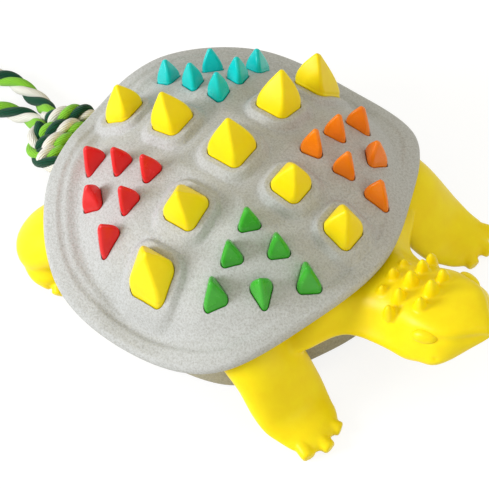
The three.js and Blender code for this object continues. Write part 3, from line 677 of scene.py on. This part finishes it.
class Seat:
    """A spike's place on the shell: its outline there, the shell's height and slope, and the spike's lean."""

    def __init__(self, x, y, sides, turn, radius, corner, tall, lean, stretch=(1, 1)):
        self.x, self.y, self.tall, self.stretch = x, y, tall, stretch
        self.sides, self.turn, self.radius, self.corner = sides, turn, radius, corner
        self.height = float(shell_height(np.array(x, float), np.array(y, float)))
        near = np.array([x + 1, x - 1, x, x], float), np.array([y, y, y + 1, y - 1], float)
        heights = shell_height(*near)
        self.slope = (heights[0] - heights[1]) / 2, (heights[2] - heights[3]) / 2
        steep = max(math.hypot(*self.slope), 0.001)
        self.lean = -lean * self.slope[0] / steep, -lean * self.slope[1] / steep

    def ring(self, radius, corner, height, arc_steps):
        """Rounded outline at a height over the seat, tilted with the shell."""
        half = math.pi / self.sides
        centre = max(0, radius - corner / math.cos(half))
        turns = self.turn + 2 * half * np.arange(self.sides)
        angles = turns[:, None] + np.linspace(-half, half, arc_steps + 1)[None]
        x = (centre * self.stretch[0] * np.cos(turns)[:, None] + corner * np.cos(angles)).ravel()
        y = (centre * self.stretch[1] * np.sin(turns)[:, None] + corner * np.sin(angles)).ravel()
        z = self.height + height + self.slope[0] * x + self.slope[1] * y
        share = max(0, height) / self.tall
        return np.column_stack((self.x + x + share * self.lean[0], self.y + y + share * self.lean[1], z))

    def outside(self, x, y):
        """Distance of points from the outline at the shell, seen from above."""
        half = math.pi / self.sides
        centre = self.radius - self.corner / math.cos(half)
        x = x - self.x
        y = y - self.y
        turns = self.turn + 2 * half * np.arange(self.sides)
        corners = centre * np.column_stack((np.cos(turns), np.sin(turns))) * self.stretch
        nearest = np.full(x.shape, np.inf)
        within = np.ones(x.shape, bool)
        for a, b in zip(corners, np.roll(corners, -1, axis=0)):
            side = b - a
            share = np.clip(((x - a[0]) * side[0] + (y - a[1]) * side[1]) / side.dot(side), 0, 1)
            nearest = np.minimum(nearest, np.hypot(x - a[0] - share * side[0], y - a[1] - share * side[1]))
            within &= side[0] * (y - a[1]) - side[1] * (x - a[0]) > 0
        return np.where(within, -nearest, nearest) - self.corner


def pyramid_seats():
    seats = []
    for x, y, along, across, tall, lean in PYRAMID_TABLE:
        half = (along + across) / 2
        stretch = [(own - PYRAMID_CORNER) / (half - PYRAMID_CORNER) for own in (along, across)]
        form = 4, math.pi / 4, half * math.sqrt(2), PYRAMID_CORNER
        seats.append(Seat(x, y, *form, tall, lean, stretch))
    return seats


def tooth_seats(along_x, along_y, out_x, out_y):
    seats = []
    inward = math.atan2(-along_y, -along_x)
    for row in range(3):
        for column in range(3 - row):
            turned = row == 1 and column == 1
            out = TOOTH_TURNED_OUT if turned else 0
            x = TOOTH_START[0] + TOOTH_PITCH[0] * column + TOOTH_SKEW * row + out + out_x
            y = TOOTH_START[1] + TOOTH_PITCH[1] * row + TOOTH_SKEW * column + out + out_y
            turn = inward + math.pi if turned else inward
            radius = TOOTH_RADIUS + (TOOTH_OUTER_GROWTH if 2 in (row, column) else 0)
            form = 3, turn, radius, TOOTH_CORNER, TOOTH_HEIGHT, TOOTH_LEAN
            seats.append(Seat(x * along_x, y * along_y, *form))
    return seats


PYRAMIDS = pyramid_seats()
TEETH = {name: tooth_seats(*quarter) for name, *quarter in TOOTH_GROUPS}
ALL_TEETH = [seat for seats in TEETH.values() for seat in seats]


# Upper shell: one skin with collars and rounded holes, walls in the holes, and the rim's underside

def rounded_edge(distance, radius):
    """Drop of a quarter-round edge at a distance from it."""
    over = np.clip(radius - distance, 0, radius)
    return radius - np.sqrt(radius * radius - over * over)


def groove(inset):
    """Depth of the shallow hollow between the brim and the dome."""
    share = np.clip(1 - ((inset - GROOVE_INSET) / GROOVE_HALF) ** 2, 0, 1)
    return GROOVE_DEPTH * share * share


def collar(distance):
    """Height of the flat land, of the slope round it and of the shallow dip beyond, from the land's edge."""
    top = np.logaddexp(0, distance / COLLAR_ROUND)
    bottom = np.logaddexp(0, (distance - COLLAR_SLOPE) / COLLAR_ROUND)
    down = COLLAR_ROUND / COLLAR_SLOPE * (top - bottom)
    back = smoothstep(distance, COLLAR_SLOPE, COLLAR_SLOPE + DIP_REACH)
    return LAND_HEIGHT - COLLAR_FALL * down + (COLLAR_FALL - LAND_HEIGHT) * back


def outer_height(x, y):
    inset = on_spoke(x, y)[0]
    height = shell_height(x, y) - groove(inset) - rounded_edge(inset, LIP_RADIUS)
    outside = np.min([seat.outside(x, y) for seat in PYRAMIDS], axis=0) - HOLE_GAP
    height += collar(outside - LAND_WIDTH) - rounded_edge(np.maximum(outside, 0), HOLE_EDGE)
    for seat in ALL_TEETH:
        height -= rounded_edge(np.maximum(seat.outside(x, y) - HOLE_GAP, 0), HOLE_EDGE)
    return height


def hole_rings(seat, offsets):
    half = math.pi / seat.sides
    rings = []
    for offset in offsets:
        grow = HOLE_GAP + offset
        ring = seat.ring(seat.radius + grow / math.cos(half), seat.corner + grow, 0, HOLE_ARC_STEPS)
        rings.append(subdivided(ring[:, :2]))
    return rings


def subdivided(ring):
    """The ring again with long sides split."""
    rows = []
    for a, b in zip(ring, np.roll(ring, -1, axis=0)):
        count = max(1, int(np.linalg.norm(b - a) / HOLE_SIDE_STEP))
        rows += [a + (b - a) * k / count for k in range(count)]
    return np.array(rows)


def upper_shell():
    holes = [hole_rings(seat, COLLAR_OFFSETS) for seat in PYRAMIDS]
    holes += [hole_rings(seat, TOOTH_OFFSETS) for seat in ALL_TEETH]
    loops = [rings[0] for rings in holes]
    rim = [rim_outline(inset) for inset in RIM_INSETS]
    step_y = DOME_GRID * math.sqrt(3) / 2
    rows = np.arange(-SHELL_HALF_WIDTH, SHELL_HALF_WIDTH, step_y)
    columns = np.arange(-SHELL_REAR, SHELL_FRONT, DOME_GRID)
    grid = np.array([(x + (DOME_GRID / 2 if i % 2 else 0), y) for i, y in enumerate(rows) for x in columns])
    free = on_spoke(grid[:, 0], grid[:, 1])[0] > RIM_INSETS[-1] + DOME_GRID / 2
    extra = [ring for rings in holes for ring in rings[1:]]
    apart = np.ones(len(grid), bool)
    for seats, offsets in ((PYRAMIDS, COLLAR_OFFSETS), (ALL_TEETH, TOOTH_OFFSETS)):
        for seat in seats:
            apart &= seat.outside(grid[:, 0], grid[:, 1]) > HOLE_GAP + offsets[-1] + GRID_GAP
    points = np.vstack(loops + rim + extra + [grid[free & apart]])
    edges, start = [], 0
    for loop in loops + rim[:1]:
        edges += [(start + i, start + (i + 1) % len(loop)) for i in range(len(loop))]
        start += len(loop)
    flat, _, faces, _, _, _ = delaunay_2d_cdt([Vector(p) for p in points], edges, [], 0, 1e-5)
    flat = np.array(flat)
    faces = np.array(faces)
    centre = flat[faces].mean(axis=1)
    keep = on_spoke(centre[:, 0], centre[:, 1])[0] > 0
    for seat in PYRAMIDS + ALL_TEETH:
        keep &= seat.outside(centre[:, 0], centre[:, 1]) > HOLE_GAP
    faces = faces[keep]
    a, b, c = (flat[faces[:, k]] for k in range(3))
    clockwise = (b - a)[:, 0] * (c - a)[:, 1] - (b - a)[:, 1] * (c - a)[:, 0] < 0
    faces[clockwise] = faces[clockwise][:, ::-1]
    skin = np.column_stack((flat, outer_height(flat[:, 0], flat[:, 1])))
    skin_faces = [tuple(face) for face in faces.tolist()]
    walls = [hole_wall(loop) for loop in loops]
    mesh = mesh_of("shell_skin", *gathered([(skin, skin_faces), rim_underside()] + walls))
    return place(link("shell_skin", mesh, GREY), "toy", "upper_shell", "upper_shell")


def hole_wall(loop):
    top = outer_height(loop[:, 0], loop[:, 1])
    rings = [np.column_stack((loop, top - drop)) for drop in (0, WALL / 2, WALL)]
    faces = strip_faces(len(rings), len(loop))
    return np.vstack(rings), faces


def rim_underside():
    """The rim's edge wall, its lower edge, and the underside a little way in."""
    rings = []
    edge = rim_outline(0)
    top = outer_height(edge[:, 0] * JUST_INSIDE, edge[:, 1] * JUST_INSIDE)
    rim = on_spoke(edge[:, 0], edge[:, 1])[1]
    rings.append(np.column_stack((edge, top)))
    rings.append(np.column_stack((edge, rim + RIM_EDGE_SOFT)))
    for share in RIM_EDGE_SHARES:
        plan_ring = rim_outline(RIM_EDGE_SOFT * share * share)
        rings.append(np.column_stack((plan_ring, rim + RIM_EDGE_SOFT * (1 - share))))
    for inset in UNDERSIDE_INSETS:
        plan_ring = rim_outline(inset)
        deep = WALL + (RIM_DEPTH - WALL) * max(0, 1 - inset / UNDERSIDE_TAPER)
        rings.append(np.column_stack((plan_ring, shell_height(plan_ring[:, 0], plan_ring[:, 1]) - deep)))
    points = np.vstack(rings)
    return points, [face[::-1] for face in strip_faces(len(rings), len(edge))]


# Spikes and teeth

def spike(seat, foot, shoulder, edge, tip, bulge):
    """Straight foot, slightly convex sides with rounded edges, and a round tip."""
    half = math.pi / seat.sides
    narrow = tip * math.cos(TIP_FROM)
    top = seat.tall - tip * (1 - math.sin(TIP_FROM))
    upright = (foot, 0, shoulder * FOOT_SHARE)
    rings = [seat.ring(seat.radius, seat.corner, height, SPIKE_ARC_STEPS) for height in upright]
    for share in np.linspace(0, 1, SPIKE_LEVELS):
        radius = seat.radius + (narrow / math.cos(half) - seat.radius) * share
        radius += bulge * math.sin(math.pi * share ** BULGE_POWER)
        rounded = min(1, share / SHOULDER_SHARE)
        radius -= SHOULDER_DROP * (1 - rounded) ** 2
        corner = edge + (seat.corner - edge) * (1 - share) ** 3 + (narrow - edge) * share ** 3
        rings.append(seat.ring(radius, corner, shoulder + (top - shoulder) * share, SPIKE_ARC_STEPS))
    for angle in np.linspace(TIP_FROM, TIP_TO, TIP_LEVELS)[1:]:
        wide = tip * math.cos(angle)
        rings.append(seat.ring(wide, wide, seat.tall - tip * (1 - math.sin(angle)), SPIKE_ARC_STEPS))
    return loft(rings)


def make_spikes():
    form = LAND_HEIGHT, PYRAMID_EDGE, PYRAMID_TIP, PYRAMID_BULGE
    tooth_form = TOOTH_SHOULDER, TOOTH_EDGE, TOOTH_TIP, TOOTH_BULGE
    solids = [spike(seat, -CORE_DROP - PYRAMID_ROOT, *form) for seat in PYRAMIDS]
    solids.append(core_top())
    mesh = facing_out(mesh_of("yellow_spikes", *gathered(solids)))
    place(link("yellow_spikes", mesh, YELLOW), "toy", "yellow")
    for colour, seats in TEETH.items():
        for i, seat in enumerate(seats, 1):
            name = f"{colour}_tooth_{i}"
            points, faces = spike(seat, -WALL - TOOTH_ROOT, *tooth_form)
            mesh = facing_out(mesh_of(name + "_plug", points, faces))
            place(link(name + "_plug", mesh, TOOTH_COLOURS[colour]), "toy", colour, name)


def core_top():
    """The rubber that shows in the gaps round spikes and teeth."""
    rings = []
    for inset in CORE_TOP_INSETS:
        ring = rim_outline(inset, steps=CORE_STEPS)
        rings.append(np.column_stack((ring, shell_height(ring[:, 0], ring[:, 1]) - CORE_DROP)))
    points = np.vstack(rings)
    faces = strip_faces(len(rings), CORE_STEPS)
    faces.append(tuple((len(rings) - 1) * CORE_STEPS + j for j in range(CORE_STEPS)))
    return points, faces


# Lower shell

def lower_shell():
    def at(inset, height):
        ring = rim_outline(inset, TRAY_FRONT, TRAY_REAR, TRAY_HALF_WIDTH, TRAY_STEPS)
        return np.column_stack((ring, np.full(len(ring), height)))

    rings = [at(TRAY_MIDDLE_INSET, TRAY_BOTTOM), at(TRAY_ROUND + 1, TRAY_BOTTOM)]
    for angle in np.radians(np.linspace(0, 90, 9)):
        height = TRAY_BOTTOM + TRAY_ROUND * (1 - math.cos(angle))
        rings.append(at(TRAY_ROUND * (1 - math.sin(angle)), height))
    rings += [at(inset, TRAY_TOP - drop) for inset, drop in TRAY_LIP]
    points = np.vstack(rings)
    faces = strip_faces(len(rings), TRAY_STEPS)
    faces.append(tuple(reversed(range(TRAY_STEPS))))
    mesh = facing_out(mesh_of("tray_skin", points, faces))
    # The tray's colour carries painted shade and painted yellow bounce light
    return place(link("tray_skin", mesh, TRAY_PAINTED_SHADE_GREY), "toy", "lower_shell", "lower_shell")


# Body

def head_ring(x, half_width, top, bottom):
    """Section of neck or head: round at the neck, with brow and jaw at the face."""
    face = float(smoothstep(np.array(x, float), FACE_FROM, FACE_FULL))
    shape = np.array(NECK_SHAPE) * (1 - face) + np.array(FACE_SHAPE) * face
    half = shape * (half_width, top - bottom) + (0, bottom)
    outline = np.vstack((half, half[-2:0:-1] * (-1, 1)))
    ring = spline(outline, HEAD_STEPS, closed=True)
    return [(x, y, z) for y, z in ring]


def head_solid():
    sections = spline(HEAD_SECTIONS, HEAD_STEPS)
    return loft([head_ring(*section) for section in sections])


def limb_solid(stations, side):
    rows = spline(stations, LIMB_STEPS)
    centres = rows[:, :3] * (1, side, 1)
    ahead = np.gradient(centres, axis=0)
    ahead /= np.linalg.norm(ahead, axis=1)[:, None]
    across = np.cross((0, 0, 1), ahead)
    across /= np.linalg.norm(across, axis=1)[:, None]
    thick = np.cross(ahead, across)
    angles = 2 * math.pi * np.arange(LIMB_SIDES) / LIMB_SIDES
    rings = centres[:, None] + (
        np.cos(angles)[None, :, None] * (across * rows[:, 3:4])[:, None]
        + np.sin(angles)[None, :, None] * (thick * rows[:, 4:5])[:, None]
    )
    return loft(rings)


def core_solid():
    rings = []
    for inset, height in BELT:
        ring = rim_outline(inset, steps=CORE_STEPS)
        rings.append(np.column_stack((ring, np.full(len(ring), float(height)))))
    for inset in CORE_INSETS:
        ring = rim_outline(inset, steps=CORE_STEPS)
        height = shell_height(ring[:, 0], ring[:, 1]) - CORE_DROP - CORE_LOWER
        rings.append(np.column_stack((ring, height)))
    return loft(rings)


def lug_solid():
    end = np.array((-LUG_X, LUG_Z))
    root = np.array(LUG_ROOT)
    heading = math.atan2(*(end - root)[::-1])
    angles = np.linspace(-math.pi / 2, math.pi / 2, LUG_ARC_STEPS)
    ways = [np.array((math.cos(heading + a), math.sin(heading + a))) for a in angles]
    tab = [end + LUG_RADIUS * way for way in ways] + [root - LUG_ROOT_RADIUS * way for way in ways]
    half = LUG_WIDTH / 2
    return loft([[(x, y, z) for x, z in tab] for y in (-half, half)])


def round_bar(start, end, profile):
    """Turned shape between two points: shares of the way with radii."""
    start, end = Vector(start), Vector(end)
    along = (end - start).normalized()
    side = along.orthogonal().normalized()
    upper = along.cross(side)
    angles = 2 * math.pi * np.arange(BAR_SIDES) / BAR_SIDES
    rings = []
    for share, radius in profile:
        centre = start.lerp(end, share)
        rings.append([centre + radius * (math.cos(a) * side + math.sin(a) * upper) for a in angles])
    return loft(np.array(rings))


def claw_solids():
    for start, end in CLAWS:
        for side in (1, -1):
            root, tip = ((x, y * side, z) for x, y, z in (start, end))
            yield round_bar(root, tip, CLAW_SHAPE)


def cone_solids():
    """Blunt cones on top of the head, flared at the foot."""
    deep = -CONE_SHAPE[0][0]
    for x, y, base, radius, height in HEAD_CONES:
        profile = [((up + deep) / (1 + deep), radius * wide) for up, wide in CONE_SHAPE]
        for across in ([y, -y] if y else [0]):
            yield round_bar((x, across, base - deep * height), (x, across, base + height), profile)


def blended(name, mesh, voxel, rounds):
    """One skin round all the solids in the mesh, with its inner corners filled."""
    piece = bpy.data.objects.new(name, mesh)
    bpy.context.scene.collection.objects.link(piece)
    remesh = piece.modifiers.new("skin", "REMESH")
    remesh.mode = "VOXEL"
    remesh.voxel_size = voxel * MM
    smooth = piece.modifiers.new("smooth", "SMOOTH")
    smooth.factor = 0.5
    smooth.iterations = rounds
    made = bpy.data.meshes.new_from_object(piece.evaluated_get(bpy.context.evaluated_depsgraph_get()))
    bpy.data.objects.remove(piece)
    return made


def rows_of(mesh):
    rows = np.empty(len(mesh.vertices) * 3)
    mesh.vertices.foreach_get("co", rows)
    return rows.reshape(-1, 3) / MM - (SHELL_MIDDLE_X, 0, 0)


def set_rows(mesh, rows):
    mesh.vertices.foreach_set("co", in_frame(rows).ravel())


def faces_of(mesh):
    return [tuple(face.vertices) for face in mesh.polygons]


def press_line(rows, normals, line, depth, width):
    """Sinks the surface along a line."""
    gap = np.full(len(rows), np.inf)
    for a, b in zip(line, line[1:]):
        side = b - a
        share = np.clip((rows - a) @ side / side.dot(side), 0, 1)
        gap = np.minimum(gap, np.linalg.norm(rows - a - share[:, None] * side, axis=1))
    return rows - normals * (depth * np.exp(-((gap / width) ** 2)))[:, None]


def make_body():
    limbs = (FRONT_LEG, REAR_THIGH, REAR_FOOT)
    large = [core_solid(), head_solid(), lug_solid()]
    large += [limb_solid(stations, side) for stations in limbs for side in (1, -1)]
    rough = facing_out(mesh_of("rough_body", *gathered(large)))
    rounded = blended("rounded_body", rough, *ROUGH_SKIN)
    small = list(claw_solids()) + list(cone_solids())
    both = facing_out(mesh_of("clawed_body", *gathered([(rows_of(rounded), faces_of(rounded))] + small)))
    mesh = blended("body_skin", both, *FINE_SKIN)
    rows = rows_of(mesh)
    normals = np.empty(len(rows) * 3)
    mesh.vertex_normals.foreach_get("vector", normals)
    normals = normals.reshape(-1, 3)
    for side in (1, -1):
        for points, crease in ((MOUTH_LINE, MOUTH_CREASE), (BROW_LINE, BROW_CREASE)):
            line = spline(np.array(points) * (1, side, 1), CREASE_STEPS)
            rows = press_line(rows, normals, line, *crease)
    rows[:, 2] = np.maximum(rows[:, 2], 0)
    set_rows(mesh, rows)
    hide_inside(mesh, rows)
    place(link("body_skin", mesh, YELLOW), "toy", "yellow", "body")


def hide_inside(mesh, rows):
    """Leaves out what the two shells cover."""
    inset = on_spoke(rows[:, 0], rows[:, 1])[0]
    lowest = shell_height(rows[:, 0], rows[:, 1]) - CORE_DROP - COVER_DEPTH
    under_shell = (inset > BELT_INSET + COVER_INSET) & (rows[:, 2] > lowest)
    share_x = rows[:, 0] / np.where(rows[:, 0] > 0, TRAY_FRONT, TRAY_REAR)
    in_tray = np.hypot(share_x, rows[:, 1] / TRAY_HALF_WIDTH) < TRAY_COVER_SHARE
    covered = under_shell | (in_tray & (rows[:, 2] < TRAY_TOP + TRAY_COVER_RISE))
    work = bmesh.new()
    work.from_mesh(mesh)
    work.verts.ensure_lookup_table()
    gone = [work.verts[i] for i in np.nonzero(covered)[0]]
    bmesh.ops.delete(work, geom=gone, context="VERTS")
    work.to_mesh(mesh)
    work.free()


def make_eyes():
    """Oval bumps that lie in the slope of the face, between brow and jaw."""
    work = bmesh.new()
    across, up = EYE_STEPS
    for side in (1, -1):
        turn = Matrix.Rotation(side * EYE_TURNS["Z"], 4, "Z") @ Matrix.Rotation(side * EYE_TURNS["X"], 4, "X")
        turn = turn @ Matrix.Rotation(EYE_TURNS["Y"], 4, "Y")
        spot = Matrix.Translation(((EYE[0] + SHELL_MIDDLE_X) * MM, side * EYE[1] * MM, EYE[2] * MM))
        size = Matrix.Diagonal([length * MM for length in EYE_SIZE] + [1])
        form = spot @ turn @ size
        bmesh.ops.create_uvsphere(work, u_segments=across, v_segments=up, radius=1, matrix=form)
    mesh = bpy.data.meshes.new("eyes")
    work.to_mesh(mesh)
    work.free()
    place(link("eyes", mesh, YELLOW), "toy", "yellow")


# Floor and light

def seen_directly(tree):
    """One for rays from the camera and for what is mirrored or seen through, else nought."""
    path = tree.nodes.new("ShaderNodeLightPath")
    seen = path.outputs["Is Camera Ray"]
    for other in ("Is Glossy Ray", "Is Transmission Ray"):
        either = tree.nodes.new("ShaderNodeMath")
        either.operation = "MAXIMUM"
        tree.links.new(seen, either.inputs[0])
        tree.links.new(path.outputs[other], either.inputs[1])
        seen = either.outputs[0]
    return seen


def make_floor():
    """White paper that shows a faint shadow."""
    mesh = bpy.data.meshes.new("floor")
    corners = [(x * FLOOR_REACH, y * FLOOR_REACH, 0) for x, y in ((-1, -1), (1, -1), (1, 1), (-1, 1))]
    mesh.from_pydata(corners, [], [(0, 1, 2, 3)])
    material = bpy.data.materials.new("floor_paper")
    material.use_nodes = True
    tree = material.node_tree
    tree.nodes.remove(tree.nodes["Principled BSDF"])
    paper, shadow = (tree.nodes.new("ShaderNodeBsdfDiffuse") for _ in range(2))
    paper.inputs["Color"].default_value = PAPER_COLOUR
    shadow.inputs["Color"].default_value = SHADOW_COLOUR
    white = tree.nodes.new("ShaderNodeEmission")
    white.inputs["Strength"].default_value = PAPER_WHITE
    bright = tree.nodes.new("ShaderNodeAddShader")
    either = tree.nodes.new("ShaderNodeMixShader")
    tree.links.new(shadow.outputs[0], bright.inputs[0])
    tree.links.new(white.outputs[0], bright.inputs[1])
    tree.links.new(seen_directly(tree), either.inputs["Fac"])
    tree.links.new(paper.outputs[0], either.inputs[1])
    tree.links.new(bright.outputs[0], either.inputs[2])
    tree.links.new(either.outputs[0], tree.nodes["Material Output"].inputs["Surface"])
    link("floor", mesh, material)


def make_world():
    """Warm light from all sides, in front of plain white."""
    world = bpy.data.worlds.new("studio")
    bpy.context.scene.world = world
    world.use_nodes = True
    tree = world.node_tree
    room = tree.nodes["Background"]
    room.inputs["Color"].default_value = ROOM_COLOUR
    room.inputs["Strength"].default_value = ROOM_STRENGTH
    white = tree.nodes.new("ShaderNodeBackground")
    white.inputs["Color"].default_value = (1, 1, 1, 1)
    either = tree.nodes.new("ShaderNodeMixShader")
    tree.links.new(seen_directly(tree), either.inputs["Fac"])
    tree.links.new(room.outputs[0], either.inputs[1])
    tree.links.new(white.outputs[0], either.inputs[2])
    tree.links.new(either.outputs[0], tree.nodes["World Output"].inputs["Surface"])


def add_lamp(name, spot, power, size, colour):
    lamp = bpy.data.lights.new(name, "AREA")
    lamp.energy = power
    lamp.size = size
    lamp.color = colour
    light = bpy.data.objects.new(name, lamp)
    light.location = spot
    light.rotation_euler = (Vector(LAMP_AIM) - light.location).to_track_quat("-Z", "Y").to_euler()
    bpy.context.scene.collection.objects.link(light)


def make_stage():
    make_floor()
    make_world()
    for lamp in LAMPS:
        add_lamp(*lamp)


place_camera()
make_rope()
upper_shell()
make_spikes()
lower_shell()
make_body()
make_eyes()
make_stage()
bpy.context.scene.view_settings.view_transform = "Standard"
